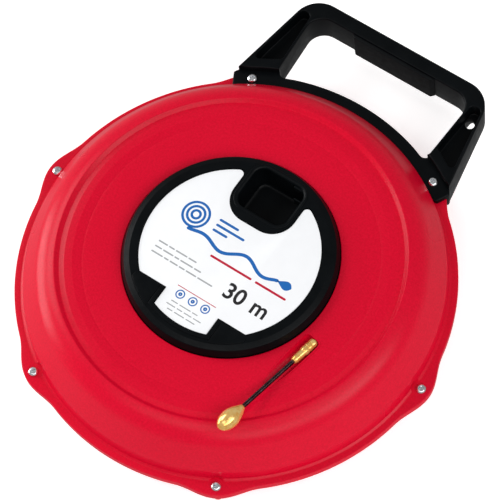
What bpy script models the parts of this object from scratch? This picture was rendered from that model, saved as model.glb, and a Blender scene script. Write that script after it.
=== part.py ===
"""Fish tape reel: a two-shell case with a carrying handle, and a drum that turns inside it.

A disc with a finger pocket turns the drum, and the drum pushes the tape out through a guide hole
in the front shell. The origin is on the drum's axis, in the plane that the case lies on.
+Z points out of the front face and +Y towards the handle. All lengths are in metres.
"""

import math

import bmesh
import bpy
from mathutils import Matrix, Vector

GAP = 0.0003                # left between two pieces that touch

# Case: two shells that meet at a flange with six screw lugs
PART_Z = 0.0432             # plane where the shells meet
CASE_RADIUS = 0.1650
LUG_REACH = 0.0063          # how far a lug stands out of the flange
LUG_HALF_ANGLE = 11.0       # degrees
LUG_PITCH = 60.0            # degrees
SCREW_RADIUS = 0.1643       # from the drum's axis to a case screw
SCREW_HOLE = 0.0020
HEAD_RADIUS = 0.00365
HEAD_HEIGHT = 0.0022
SHANK_RADIUS = 0.0016
FOOT_SCREW_LENGTH = 0.0150
LUG_SCREW_LENGTH = 0.0125
LUG_BOSS = 0.0042           # radius of the boss behind a lug
LUG_BOSS_Z = 0.0300
FLANGE = 0.0033
WALL = 0.0030
SHOULDER_R = 0.12495        # centre of the arc that rounds the case's shoulder
SHOULDER_H = 0.0191
SHOULDER_BEND = 0.0245
SHOULDER_END = 79.0         # degrees above the flange plane
CONE_TOP = 30.0             # degrees, where the arc runs into the conical wall
CREASE_R = 0.1570           # foot of the conical wall
CREASE_H = 0.0137
FILLET_R = 0.1582           # where the wall's foot starts to turn into the flange
FILLET_H = 0.0045
FACE_RADIUS = 0.0806        # hole in the front shell, where the disc sits
REST_INNER = 0.0840         # inner edge of the ring that the case lies on
BOSS_RADIUS = 0.0160        # rear centre boss, flush with that ring
POST_RADIUS = 0.0120
POST_TOP = 0.0240
PANEL_Z = 0.0060            # rear centre panel, set in from the ring

# Handle
HANDLE_HALF_DEPTH = 0.0140
HANDLE_TOP = 0.2257
HANDLE_CORNERS = (           # x, y, radius
    (0.0810, HANDLE_TOP, 0.022),
    (0.0955, 0.1440, 0),
    (0.0981, 0.1404, 0.0025),
    (0.0930, 0.1310, 0),
)
PLATE_HALF_DEPTH = 0.0083   # feet and bridge, which clamp the flange
PLATE_OUTER = 0.1713
BRIDGE_INNER = 0.1570
BRIDGE_OUTER = 0.1680
FOOT_ANGLE = 35.2           # degrees from +Y
GRIP_UNDERSIDE = 0.2139
GAP_CORNERS = (              # hand gap: x, y, radius
    (0.0713, GRIP_UNDERSIDE, 0.014),
    (0.0679, 0.1536, 0.005),
)
ARM_POCKET = (               # right arm: x, y, radius
    (0.0730, 0.2104, 0.0042),
    (0.0818, 0.2104, 0.0042),
    (0.0884, 0.1700, 0.0080),
    (0.0908, 0.1545, 0.0030),
    (0.0703, 0.1665, 0.0030),
)
GAP_ARC_ANGLE = 19.0        # degrees from +Y, where the gap's lower side joins its corner
GRIP_HALF = 0.0370
GRIP_THICK = 0.0028
WEB_HALF = 0.0020
HANG_HOLE = (0.0772, 0.2005)
HANG_HOLE_RADIUS = 0.0037

# Rotor: disc, drum and the bearing between them
DISC_RADIUS = 0.0800
DISC_TOP = 0.0932
DISC_FLAT = 0.0735          # radius of the flat top, which then slopes gently to the bend
DISC_BEND = (0.0776, 0.0916)
DISC_RIM_Z = 0.0864
DISC_SKIRT_Z = 0.0770
DISC_WALL = 0.0025
DISC_PLATE_Z = 0.0895       # underside of the disc's top plate
SEAT_Z = 0.0919             # floor of the label's shallow seat
LABEL_THICK = 0.0004
LABEL_RADIUS = 0.0667
NOTCH_HALF = 0.0268         # gap in the label for the finger pocket
NOTCH_Y = 0.0252
NOTCH_CORNER = 0.0190
TAB_HALF = 0.0229
TAB_Y = -0.0476
POCKET_HALF = 0.0208
POCKET_Y = (0.0354, 0.0700)
POCKET_FLOOR_Z = 0.0670
POCKET_CORNER = 0.0080
COLUMN_OUTER = 0.0300       # tube that joins the disc to the drum
COLUMN_INNER = 0.0240
HUB_TOP = 0.0610
HUB_OUTER = 0.0170
DRUM_FLOOR_Z = 0.0105
DRUM_RADIUS = 0.1380
DRUM_TOP = 0.0580
DRUM_LIP = 0.1310
DRUM_WALL = 0.0022
AXLE_RADIUS = 0.0060
BUSH_RADIUS = 0.0091
DISC_SCREW_RADIUS = 0.0270  # from the drum's axis to a disc screw
SMALL_HOLE = 0.0019         # for the disc screws and the clamp screw
SMALL_HEAD = 0.0030
SMALL_SHANK = 0.0015

# Tape: 30 m of 3 mm rod, wound inside the drum's wall, and the leader at its free end
TAPE_RADIUS = 0.0015
COIL_INNER = 0.1226
COIL_OUTER = 0.1352
COIL_Z = (0.0130, 0.0462)
CLAMP_HALF = 0.0090         # clamp for the tape's inner end, on the drum's wall
CLAMP_Y = (0.1275, 0.1350)
CLAMP_RISE = 0.0038
LEADER_BACK = Vector((0.0887, -0.0222, 0.0821))
LEADER_TIP = Vector((0.0725, -0.1176, 0.0953))
SLEEVE_LENGTH = 0.0220
SLEEVE_RADIUS = 0.0035
SLEEVE_BORE = 0.0080
SPRING_RADIUS = 0.0017
TIP_LENGTH = 0.0245
TIP_RADIUS = 0.0067
TIP_NECK = 0.0019
ROD_INSIDE = 0.0600         # straight tape behind the sleeve, enough for the modelled pull
TROUGH_RADIUS = 0.0065
TROUGH_LENGTH = 0.0700      # past the point where it has risen out of the face
TROUGH_OFFSET = 0.0015      # the trough lies this far to the left of the leader
TROUGH_DEPTH = 0.0042       # below the leader's axis
TROUGH_BACK = 0.0012        # the trough starts this far behind the leader
GUIDE_HOLE = 0.0023
GUIDE_BLOCK_X = (-0.0100, 0.0085)   # block under the trough, from the leader's axis
GUIDE_BLOCK_Y = (-0.0080, 0.0560)
GUIDE_BLOCK_Z = (0.0730, 0.0840)
RUN_SWEEP = 75.0            # degrees that the tape turns between the coil and the guide hole


def clear_scene():
    for obj in list(bpy.data.objects):
        bpy.data.objects.remove(obj)


def material(name, colour, roughness, metallic=0.0):
    mat = bpy.data.materials.new(name)
    mat.use_nodes = True
    shader = mat.node_tree.nodes["Principled BSDF"]
    shader.inputs["Base Color"].default_value = (*colour, 1.0)
    shader.inputs["Roughness"].default_value = roughness
    shader.inputs["Metallic"].default_value = metallic
    return mat


def add_object(name, bm, mat=None, parent=None):
    """A mesh object made from bm. Without a material it is a cutter or a guide."""
    bmesh.ops.recalc_face_normals(bm, faces=bm.faces)
    mesh = bpy.data.meshes.new(name)
    bm.to_mesh(mesh)
    bm.free()
    mesh.shade_smooth()
    mesh.set_sharp_from_angle(angle=math.radians(35))
    obj = bpy.data.objects.new(name, mesh)
    bpy.context.scene.collection.objects.link(obj)
    obj.parent = parent
    if mat:
        mesh.materials.append(mat)
    else:
        obj.hide_render = True
        obj.display_type = "WIRE"
    return obj


def combine(target, other, operation):
    modifier = target.modifiers.new(other.name, "BOOLEAN")
    modifier.operation = operation
    modifier.object = other


def even_angles(steps, first=0.0):
    return [first + 2 * math.pi * i / steps for i in range(steps)]


def lug_angles():
    """Directions round the case, closer together over each lug."""
    over_lug = [4, 7.5, 11]
    plain = LUG_PITCH - 2 * LUG_HALF_ANGLE
    steps = [0] + over_lug
    steps += [LUG_HALF_ANGLE + plain * i / 4 for i in range(1, 4)]
    steps += [LUG_PITCH - a for a in reversed(over_lug)]
    turns = int(360 / LUG_PITCH)
    return [math.radians(LUG_PITCH * n + a) for n in range(turns) for a in steps]


def lug_bump(angle):
    """How far the flange stands out of its circle in this direction."""
    off = (math.degrees(angle) + LUG_PITCH / 2) % LUG_PITCH - LUG_PITCH / 2
    if abs(off) >= LUG_HALF_ANGLE:
        return 0.0
    return LUG_REACH * math.cos(math.radians(90 * off / LUG_HALF_ANGLE)) ** 2


def turned(profile, angles, with_lugs=False):
    """The closed outline profile, a list of (radius, height), turned about Z."""
    bm = bmesh.new()
    on_axis = {i: bm.verts.new((0, 0, h)) for i, (r, h) in enumerate(profile) if r == 0}
    rings = []
    for a in angles:
        ring = []
        for i, (r, h) in enumerate(profile):
            if with_lugs and r >= CASE_RADIUS:
                r = r + lug_bump(a)
            point = (r * math.cos(a), r * math.sin(a), h)
            ring.append(on_axis[i] if i in on_axis else bm.verts.new(point))
        rings.append(ring)
    for ring, following in zip(rings, rings[1:] + rings[:1]):
        for i in range(len(profile)):
            j = (i + 1) % len(profile)
            corners = dict.fromkeys((ring[i], following[i], following[j], ring[j]))
            if len(corners) > 2:
                bm.faces.new(corners)
    return bm


def ring_profile(inner, outer, low, high):
    return [(inner, low), (outer, low), (outer, high), (inner, high)]


def rounded(points, segments=4):
    """The outline through (x, y, radius) corners, each rounded to its radius."""
    outline = []
    for i, (x, y, radius) in enumerate(points):
        corner = Vector((x, y))
        if radius == 0:
            outline.append(corner)
            continue
        before = Vector(points[i - 1][:2])
        after = Vector(points[(i + 1) % len(points)][:2])
        to_before = (before - corner).normalized()
        to_after = (after - corner).normalized()
        half = to_before.angle(to_after) / 2
        centre = corner + (to_before + to_after).normalized() * (radius / math.sin(half))
        start = corner + to_before * (radius / math.tan(half)) - centre
        end = corner + to_after * (radius / math.tan(half)) - centre
        first = math.atan2(start.y, start.x)
        sweep = (math.atan2(end.y, end.x) - first + math.pi) % (2 * math.pi) - math.pi
        for n in range(segments + 1):
            a = first + sweep * n / segments
            outline.append(centre + radius * Vector((math.cos(a), math.sin(a))))
    return outline


def mirrored(right):
    """Corners of the whole outline from those at +X, listed from top to bottom."""
    return right + [(-x, y, radius) for x, y, radius in reversed(right) if x > 0]


def arc_corners(radius, start, end, steps):
    """Corners on a circle about the origin, at angles measured from +Y towards +X."""
    turns = [math.radians(start + (end - start) * i / steps) for i in range(steps + 1)]
    return [(radius * math.sin(a), radius * math.cos(a), 0) for a in turns]


def prism(outline, low, high):
    bm = bmesh.new()
    base = [bm.verts.new((x, y, low)) for x, y in outline]
    top = [bm.verts.new((x, y, high)) for x, y in outline]
    bm.faces.new(base)
    bm.faces.new(top)
    for i in range(len(base)):
        j = (i + 1) % len(base)
        bm.faces.new((base[i], base[j], top[j], top[i]))
    return bm


def cylinder(radius, low, high, steps=16, centre=(0, 0)):
    """A cylinder along Z, turned a little so that its edges miss those of the piece it cuts."""
    profile = [(0, low), (radius, low), (radius, high), (0, high)]
    bm = turned(profile, even_angles(steps, 0.13))
    bmesh.ops.translate(bm, verts=bm.verts, vec=(*centre, 0))
    return bm


def screw(head_z, head_radius, head_height, shank_radius, shank_length, steps=10):
    """A pan-head screw along Z, with the underside of its head at head_z."""
    tip = head_z - shank_length
    profile = [
        (0, tip),
        (shank_radius * 0.5, tip),
        (shank_radius, tip + shank_radius),
        (shank_radius, head_z),
        (head_radius, head_z),
        (head_radius, head_z + head_height * 0.35),
        (head_radius * 0.72, head_z + head_height * 0.88),
        (0, head_z + head_height),
    ]
    return turned(profile, even_angles(steps))


def case_screw_places():
    """Number, x and y of the six case screws; the first two go through the handle's feet."""
    order = [60, 120, 0, 180, 240, 300]
    for number, degrees in enumerate(order, 1):
        a = math.radians(degrees)
        x, y = SCREW_RADIUS * math.cos(a), SCREW_RADIUS * math.sin(a)
        yield number, x, y


def shoulder(bend, steps=3):
    """Points of the rounded shoulder, from its top edge out to the conical wall."""
    for i in range(steps + 1):
        a = math.radians(SHOULDER_END + (CONE_TOP - SHOULDER_END) * i / steps)
        yield SHOULDER_R + bend * math.cos(a), SHOULDER_H + bend * math.sin(a)


def shell_rim():
    """Flange and wall foot, outer side and then inner side, as (radius, height from PART_Z)."""
    outer = [(CREASE_R, CREASE_H), (FILLET_R, FILLET_H), (0.1600, FLANGE), (CASE_RADIUS, FLANGE)]
    inner = [(CASE_RADIUS, GAP / 2), (0.1552, GAP / 2), (CREASE_R - WALL * 0.95, CREASE_H - 0.0012)]
    return outer + inner


def front_shell(mat):
    top = [(FACE_RADIUS, 0.0418), (0.1095, 0.0412), (0.1165, 0.0419), (0.1225, 0.0414), (0.1268, 0.0402)]
    underside = [(0.1285, 0.0376), (0.1165, 0.0389), (0.1095, 0.0382), (FACE_RADIUS, 0.0388)]
    inner = list(shoulder(SHOULDER_BEND - WALL, 2))[::-1]
    profile = top + list(shoulder(SHOULDER_BEND)) + shell_rim() + inner + underside
    profile = [(r, PART_Z + h) for r, h in profile]
    shell = add_object("front_shell", turned(profile, lug_angles(), with_lugs=True), mat)

    turn = Vector((0, 1)).angle_signed(Vector((LEADER_TIP - LEADER_BACK)[:2]))
    (left, right), (back, front) = GUIDE_BLOCK_X, GUIDE_BLOCK_Y
    corners = [(left, back, 0.003), (left, front, 0.006), (right, front, 0.006), (right, back, 0.003)]
    block = add_object("guide_block", prism(rounded(corners, 3), *GUIDE_BLOCK_Z))
    block.matrix_basis = Matrix.Translation((*LEADER_BACK[:2], 0)) @ Matrix.Rotation(-turn, 4, "Z")
    combine(shell, block, "UNION")

    trough = add_object("trough_cutter", cylinder(TROUGH_RADIUS, 0, TROUGH_LENGTH, 20))
    along = LEADER_TIP - LEADER_BACK
    start = LEADER_BACK + Vector((-TROUGH_OFFSET, 0, TROUGH_RADIUS - TROUGH_DEPTH))
    start -= along.normalized() * TROUGH_BACK
    trough.matrix_basis = aimed(start, along)
    combine(shell, trough, "DIFFERENCE")

    hole = add_object("guide_hole_cutter", cylinder(GUIDE_HOLE, -0.045, 0.004, 12))
    hole.matrix_basis = aimed(LEADER_BACK, LEADER_TIP - LEADER_BACK)
    combine(shell, hole, "DIFFERENCE")
    drill_flange(shell, "front", PART_Z - 0.002, PART_Z + 0.010)
    return shell


def drill_flange(shell, side, low, high):
    for number, x, y in case_screw_places():
        hole = cylinder(SCREW_HOLE, low, high, 10, (x, y))
        combine(shell, add_object(f"{side}_hole_{number}", hole), "DIFFERENCE")


def rear_shell(mat):
    rest, panel = PART_Z, PART_Z - PANEL_Z
    floor = [
        (0, rest),
        (BOSS_RADIUS, rest),
        (BOSS_RADIUS + 0.003, panel),
        (REST_INNER - 0.004, panel),
        (REST_INNER, rest),
        (0.1285, rest),
    ]
    inside = [
        (0.1272, rest - WALL),
        (REST_INNER + WALL, rest - WALL),
        (REST_INNER - 0.001, panel - WALL),
        (POST_RADIUS, panel - WALL),
        (POST_RADIUS, PART_Z - POST_TOP),
        (AXLE_RADIUS + GAP, PART_Z - POST_TOP),
        (AXLE_RADIUS + GAP, rest - 0.004),
        (0, rest - 0.004),
    ]
    inner = list(shoulder(SHOULDER_BEND - WALL, 2))[::-1]
    profile = floor + list(shoulder(SHOULDER_BEND)) + shell_rim() + inner + inside
    profile = [(r, PART_Z - h) for r, h in profile]
    shell = add_object("rear_shell", turned(profile, lug_angles(), with_lugs=True), mat)
    for number, x, y in case_screw_places():
        if number > 2:
            boss = cylinder(LUG_BOSS, LUG_BOSS_Z, PART_Z - 0.002, 12, (x, y))
            combine(shell, add_object(f"lug_boss_{number}", boss), "UNION")
    drill_flange(shell, "rear", LUG_BOSS_Z + 0.0025, PART_Z + 0.002)
    return shell


def handle(mat):
    half = HANDLE_HALF_DEPTH
    corners = list(HANDLE_CORNERS) + arc_corners(BRIDGE_INNER, FOOT_ANGLE, 0, 8)
    body = prism(rounded(mirrored(corners), 5), PART_Z - half, PART_Z + half)
    body = add_object("handle", body, mat)

    corners = list(GAP_CORNERS) + arc_corners(BRIDGE_OUTER, GAP_ARC_ANGLE, 0, 6)
    gap = prism(rounded(mirrored(corners), 4), PART_Z - 2 * half, PART_Z + 2 * half)
    combine(body, add_object("hand_gap_cutter", gap), "DIFFERENCE")

    angles = lug_angles()
    for name, low, high in (
        ("plate_front_cutter", PLATE_HALF_DEPTH, 2 * half),
        ("plate_rear_cutter", -2 * half, -PLATE_HALF_DEPTH),
    ):
        ring = turned(ring_profile(0.120, PLATE_OUTER, PART_Z + low, PART_Z + high), angles)
        combine(body, add_object(name, ring), "DIFFERENCE")

    combine(body, add_object("flange_cutter", flange_space(angles)), "DIFFERENCE")

    for side in (1, -1):
        outline = rounded([(side * x, y, radius) for x, y, radius in ARM_POCKET], 3)
        for face, low, high in (("front", WEB_HALF, 2 * half), ("rear", -2 * half, -WEB_HALF)):
            pocket = prism(outline, PART_Z + low, PART_Z + high)
            combine(body, add_object(f"pocket_{face}_{side}", pocket), "DIFFERENCE")

    hang = cylinder(HANG_HOLE_RADIUS, PART_Z - half, PART_Z + half, 16, HANG_HOLE)
    combine(body, add_object("hang_hole_cutter", hang), "DIFFERENCE")
    for number, x, y in case_screw_places():
        if number <= 2:
            hole = cylinder(SCREW_HOLE, PART_Z - half, PART_Z + half, 10, (x, y))
            combine(body, add_object(f"foot_hole_{number}", hole), "DIFFERENCE")
    return body


def flange_space(angles):
    """The case's rim with the usual gap round it, which the handle's groove is cut to."""
    wall = CREASE_R + 2 * GAP
    foot = FILLET_R + 2 * GAP
    edge = CASE_RADIUS + GAP
    half_rim = [
        (0.1300, 0.0300),
        (wall - 0.0094, 0.0300),
        (wall, CREASE_H),
        (foot, FILLET_H + GAP),
        (0.1602, FLANGE + GAP),
        (edge, FLANGE + GAP),
    ]
    profile = [(r, PART_Z + h) for r, h in half_rim]
    profile += [(r, PART_Z - h) for r, h in reversed(half_rim)]
    return turned(profile, angles, with_lugs=True)


def grip_insert(mat):
    top = GRIP_UNDERSIDE - GAP
    low = top - GRIP_THICK
    depth = HANDLE_HALF_DEPTH - 0.0005
    corners = [(GRIP_HALF, top, 0), (GRIP_HALF - 0.002, low, 0.001)]
    pad = prism(rounded(mirrored(corners), 3), PART_Z - depth, PART_Z + depth)
    return add_object("grip_insert", pad, mat)


def case_screws(mat):
    for number, x, y in case_screw_places():
        seat = PART_Z + (PLATE_HALF_DEPTH if number <= 2 else FLANGE) + GAP
        length = FOOT_SCREW_LENGTH if number <= 2 else LUG_SCREW_LENGTH
        shape = screw(seat, HEAD_RADIUS, HEAD_HEIGHT, SHANK_RADIUS, length)
        obj = add_object(f"case_screw_{number}", shape, mat)
        obj.location = (x, y, 0)


def label_outline(grow=0.0):
    """The label's edge, moved outwards by grow."""
    edge = LABEL_RADIUS + grow
    notch = NOTCH_HALF - grow
    tab = TAB_HALF + grow
    horn = 0.0035
    tilt = math.degrees(math.asin((notch + horn) / (edge - horn)))
    low = math.degrees(math.acos((TAB_Y - grow) / edge))
    tab_turn = math.degrees(math.asin(tab / edge))
    right = [(0, NOTCH_Y + grow, 0), (notch, NOTCH_Y + grow, NOTCH_CORNER)]
    horn_x, horn_y = notch + horn, (edge - horn) * math.cos(math.radians(tilt))
    for n in range(5):
        a = math.radians(180 - n * (90 + tilt) / 4)
        right.append((horn_x + horn * math.cos(a), horn_y + horn * math.sin(a), 0))
    right += arc_corners(edge, tilt + 3, low, 16)
    right.append((tab, TAB_Y - grow, 0))
    right += arc_corners(edge, 180 - tab_turn, 180, 4)
    return rounded(mirrored(right), 5)


def pocket_outline(grow=0.0):
    x, (low, high) = POCKET_HALF + grow, POCKET_Y
    radius = POCKET_CORNER + grow
    return rounded(mirrored([(x, high + grow, radius), (x, low - grow, radius)]), 4)


def winding_disc(mat, axis):
    profile = [
        (0, DISC_TOP),
        (DISC_FLAT, DISC_TOP),
        DISC_BEND,
        (DISC_RADIUS, DISC_RIM_Z),
        (DISC_RADIUS, DISC_SKIRT_Z),
        (DISC_RADIUS - DISC_WALL, DISC_SKIRT_Z),
        (DISC_RADIUS - DISC_WALL, DISC_RIM_Z - 0.0020),
        (DISC_FLAT + 0.0020, DISC_PLATE_Z),
        (COLUMN_OUTER, DISC_PLATE_Z),
        (COLUMN_OUTER, HUB_TOP + GAP),
        (COLUMN_INNER, HUB_TOP + GAP),
        (COLUMN_INNER, DISC_PLATE_Z),
        (0, DISC_PLATE_Z),
    ]
    disc = add_object("winding_disc", turned(profile, even_angles(48)), mat, axis)
    cup = prism(pocket_outline(DISC_WALL), POCKET_FLOOR_Z - DISC_WALL, DISC_TOP - 0.001)
    combine(disc, add_object("cup_walls", cup), "UNION")
    pocket = prism(pocket_outline(), POCKET_FLOOR_Z, DISC_TOP + 0.010)
    combine(disc, add_object("cup_cutter", pocket), "DIFFERENCE")
    seat = prism(label_outline(2 * GAP), SEAT_Z, DISC_TOP + 0.010)
    combine(disc, add_object("label_seat_cutter", seat), "DIFFERENCE")
    for number, x, y in disc_screw_places():
        hole = cylinder(SMALL_HOLE, HUB_TOP - 0.002, HUB_TOP + 0.0150, 10, (x, y))
        combine(disc, add_object(f"column_hole_{number}", hole), "DIFFERENCE")
    return disc


def disc_label(mat, axis):
    low = SEAT_Z + GAP
    return add_object("disc_label", prism(label_outline(), low, low + LABEL_THICK), mat, axis)


def disc_screw_places():
    for number in range(4):
        a = math.radians(45 + 90 * number)
        yield number + 1, DISC_SCREW_RADIUS * math.cos(a), DISC_SCREW_RADIUS * math.sin(a)


def drum(mat, axis):
    floor_top = DRUM_FLOOR_Z + DRUM_WALL
    profile = [
        (POST_RADIUS + 2 * GAP, DRUM_FLOOR_Z),
        (DRUM_RADIUS, DRUM_FLOOR_Z),
        (DRUM_RADIUS, DRUM_TOP),
        (DRUM_LIP, DRUM_TOP),
        (DRUM_LIP, DRUM_TOP - DRUM_WALL),
        (DRUM_RADIUS - DRUM_WALL, DRUM_TOP - DRUM_WALL),
        (DRUM_RADIUS - DRUM_WALL, floor_top),
        (HUB_OUTER, floor_top),
        (HUB_OUTER, HUB_TOP - 0.003),
        (COLUMN_OUTER, HUB_TOP - 0.003),
        (COLUMN_OUTER, HUB_TOP),
        (BUSH_RADIUS + GAP, HUB_TOP),
        (BUSH_RADIUS + GAP, POST_TOP + 0.0021),
        (POST_RADIUS + 2 * GAP, POST_TOP + 0.0021),
    ]
    body = add_object("drum", turned(profile, even_angles(48)), mat, axis)
    for number, x, y in disc_screw_places():
        hole = cylinder(SMALL_HOLE, HUB_TOP - 0.006, HUB_TOP + 0.003, 10, (x, y))
        combine(body, add_object(f"hub_hole_{number}", hole), "DIFFERENCE")
    hole = add_object("clamp_hole_cutter", cylinder(SMALL_HOLE, DRUM_LIP, DRUM_RADIUS + 0.010, 10))
    hole.matrix_basis = aimed(Vector((0, 0, clamp_height())), Vector((0, -1, 0)))
    combine(body, hole, "DIFFERENCE")
    return body


def bearing(steel, polymer, axis):
    """The axle, which the rear shell holds, and the rings that the drum turns on."""
    bore = 0.0023
    axle_top = HUB_TOP + 0.0036
    axle_low = 0.0040 + GAP
    profile = [
        (0, axle_low),
        (AXLE_RADIUS, axle_low),
        (AXLE_RADIUS, axle_top),
        (bore, axle_top),
        (bore, axle_top - 0.015),
        (0, axle_top - 0.015),
    ]
    add_object("axle_pin", turned(profile, even_angles(16)), steel)

    low = POST_TOP + GAP
    washer = ring_profile(AXLE_RADIUS + GAP, 0.0115, low, low + 0.0015)
    add_object("thrust_washer", turned(washer, even_angles(16)), polymer)

    flange_low = HUB_TOP + GAP
    flange_top = flange_low + 0.0015
    profile = [
        (AXLE_RADIUS + GAP, POST_TOP + 0.0024),
        (BUSH_RADIUS, POST_TOP + 0.0024),
        (BUSH_RADIUS, flange_low),
        (0.0120, flange_low),
        (0.0120, flange_top),
        (AXLE_RADIUS + GAP, flange_top),
    ]
    add_object("axle_bush", turned(profile, even_angles(16)), polymer, axis)

    wave = ring_profile(AXLE_RADIUS + 2 * GAP, 0.0110, flange_top + GAP, flange_top + 0.0012)
    add_object("wave_washer", turned(wave, even_angles(16)), steel)
    cap_low = axle_top + GAP
    cap = ring_profile(bore, 0.0115, cap_low, cap_low + 0.0012)
    add_object("retaining_washer", turned(cap, even_angles(16)), steel)
    head = screw(cap_low + 0.0012 + GAP, 0.0050, 0.0026, 0.0020, 0.0145, 16)
    add_object("axle_screw", head, steel)


def disc_screws(mat, axis):
    for number, x, y in disc_screw_places():
        head_z = -(HUB_TOP - 0.003 - GAP)
        shape = screw(head_z, SMALL_HEAD, 0.0020, SMALL_SHANK, 0.0140, 8)
        obj = add_object(f"disc_screw_{number}", shape, mat, axis)
        obj.location = (x, y, 0)
        obj.rotation_euler = (math.pi, 0, 0)


def clamp_height():
    return COIL_Z[1] + 0.0046


def tape_on_drum(tape, polymer, steel, axis):
    ring = ring_profile(COIL_INNER, COIL_OUTER, *COIL_Z)
    add_object("tape_coil", turned(ring, even_angles(48)), tape, axis)

    half, (inner, outer) = CLAMP_HALF, CLAMP_Y
    corners = [(-half, -inner, 0.001), (half, -inner, 0.001), (half, -outer, 0), (-half, -outer, 0)]
    clamp = prism(rounded(corners, 3), clamp_height() - CLAMP_RISE, clamp_height() + CLAMP_RISE)
    clamp = add_object("tape_clamp", clamp, polymer, axis)
    outwards = aimed(Vector((0, 0, clamp_height())), Vector((0, -1, 0)))
    bore = add_object("clamp_bore_cutter", cylinder(SMALL_HOLE, inner - 0.005, outer + 0.002, 10))
    bore.matrix_basis = outwards
    combine(clamp, bore, "DIFFERENCE")

    shape = screw(DRUM_RADIUS + GAP, SMALL_HEAD, 0.0018, SMALL_SHANK, 0.0105, 8)
    bolt = add_object("clamp_screw", shape, steel, axis)
    bolt.matrix_basis = outwards


def aimed(place, direction):
    """A placement at a point, with local +Z along direction."""
    turn = direction.to_track_quat("Z", "Y")
    return Matrix.Translation(place) @ turn.to_matrix().to_4x4()


def leader(tape, brass, spring, axis):
    """The pieces on the tape's free end, turned about their common axis."""
    rod = cylinder(TAPE_RADIUS, -ROD_INSIDE, SLEEVE_BORE - GAP, 10)
    add_object("tape_lead", rod, tape, axis)

    profile = [
        (TAPE_RADIUS + GAP, 0),
        (SLEEVE_RADIUS - 0.0004, 0),
        (SLEEVE_RADIUS, 0.0006),
        (SLEEVE_RADIUS, 0.0110),
        (SLEEVE_RADIUS - 0.0006, 0.0125),
        (SLEEVE_RADIUS - 0.0006, SLEEVE_LENGTH - 0.0020),
        (SPRING_RADIUS + 0.0006, SLEEVE_LENGTH),
        (0, SLEEVE_LENGTH),
        (0, SLEEVE_BORE),
        (TAPE_RADIUS + GAP, SLEEVE_BORE),
    ]
    add_object("end_sleeve", turned(profile, even_angles(16)), brass, axis)

    length = (LEADER_TIP - LEADER_BACK).length
    tip_start = length - TIP_LENGTH
    coil = cylinder(SPRING_RADIUS, SLEEVE_LENGTH + GAP, tip_start - GAP, 10)
    add_object("leader_spring", coil, spring, axis)

    widest = 0.56 * TIP_LENGTH
    profile = [(0, tip_start)]
    for n in range(7):
        part = n / 6
        swell = math.sin(part * math.pi / 2) ** 1.05
        profile.append((TIP_NECK + (TIP_RADIUS - TIP_NECK) * swell, tip_start + widest * part))
    for n in range(1, 6):
        a = n / 6 * math.pi / 2
        reach = (TIP_LENGTH - widest) * math.sin(a)
        profile.append((TIP_RADIUS * math.cos(a), tip_start + widest + reach))
    profile.append((0, length))
    add_object("leader_tip", turned(profile, even_angles(20)), brass, axis)


def tape_run(mat):
    """The tape between the coil's top turn and the straight piece behind the guide hole."""
    along = (LEADER_TIP - LEADER_BACK).normalized()
    end = LEADER_BACK - along * (ROD_INSIDE + GAP)
    end_turn = math.atan2(end.y, end.x)
    end_radius = Vector(end[:2]).length
    sweep = math.radians(RUN_SWEEP)
    start_radius = COIL_INNER + TAPE_RADIUS
    start_z = COIL_Z[1] + TAPE_RADIUS + 2 * GAP
    outward = Vector((end.x, end.y, 0)).normalized()
    sideways = Vector((outward.y, -outward.x, 0))
    speed = end_radius * sweep / along.dot(sideways)
    radius_speed = speed * along.dot(outward)
    steps = 18
    points = []
    for n in range(steps + 1):
        part = n / steps
        turn = end_turn + sweep * (1 - part)
        radius = eased(start_radius, end_radius, radius_speed, part)
        height = eased(start_z, end.z, speed * along.z, part)
        points.append((radius * math.cos(turn), radius * math.sin(turn), height, 1))
    curve = bpy.data.curves.new("tape_run", "CURVE")
    curve.dimensions = "3D"
    curve.bevel_depth = TAPE_RADIUS
    curve.bevel_resolution = 2
    curve.use_fill_caps = True
    spline = curve.splines.new("POLY")
    spline.points.add(len(points) - 1)
    for point, place in zip(spline.points, points):
        point.co = place
    curve.materials.append(mat)
    obj = bpy.data.objects.new("tape_run", curve)
    bpy.context.scene.collection.objects.link(obj)
    return obj


def eased(start, end, end_speed, part):
    """A cubic from start, at rest, to end, arriving at end_speed."""
    whole = part * part * (3 - 2 * part)
    arrival = part * part * (part - 1)
    return start + (end - start) * whole + end_speed * arrival


def add_empty(name, placement):
    empty = bpy.data.objects.new(name, None)
    bpy.context.scene.collection.objects.link(empty)
    empty.matrix_basis = placement
    return empty


def build():
    clear_scene()
    red = material("red_case", (0.62, 0.004, 0.017), 0.38)
    black = material("black_moulding", (0.012, 0.013, 0.014), 0.45)
    grip = material("grip_rubber", (0.016, 0.016, 0.017), 0.7)
    paper = material("label_white", (0.86, 0.87, 0.88), 0.35)
    polymer = material("pale_polymer", (0.62, 0.61, 0.56), 0.5)
    steel = material("zinc_steel", (0.62, 0.64, 0.66), 0.3, 1.0)
    brass = material("brass", (0.72, 0.47, 0.16), 0.22, 1.0)
    dark_spring = material("dark_spring", (0.05, 0.05, 0.055), 0.35, 1.0)
    tape = material("fibreglass_tape", (0.80, 0.62, 0.08), 0.35)

    drum_axis = add_empty("drum_axis", Matrix.Identity(4))
    leader_axis = add_empty("leader_axis", aimed(LEADER_BACK, LEADER_TIP - LEADER_BACK))
    front_shell(red)
    rear_shell(red)
    handle(black)
    grip_insert(grip)
    case_screws(steel)
    winding_disc(black, drum_axis)
    disc_label(paper, drum_axis)
    drum(polymer, drum_axis)
    bearing(steel, polymer, drum_axis)
    disc_screws(steel, drum_axis)
    tape_on_drum(tape, polymer, steel, drum_axis)
    tape_run(tape)
    leader(tape, brass, dark_spring, leader_axis)


build()
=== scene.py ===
"""Looks of the fish tape reel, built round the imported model.

Every piece is in the model's own frame, in metres. The drum turns about Z at the origin, the case
lies on Z = 0 with its front face up, and the handle is towards +Y.
"""

import math

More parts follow.
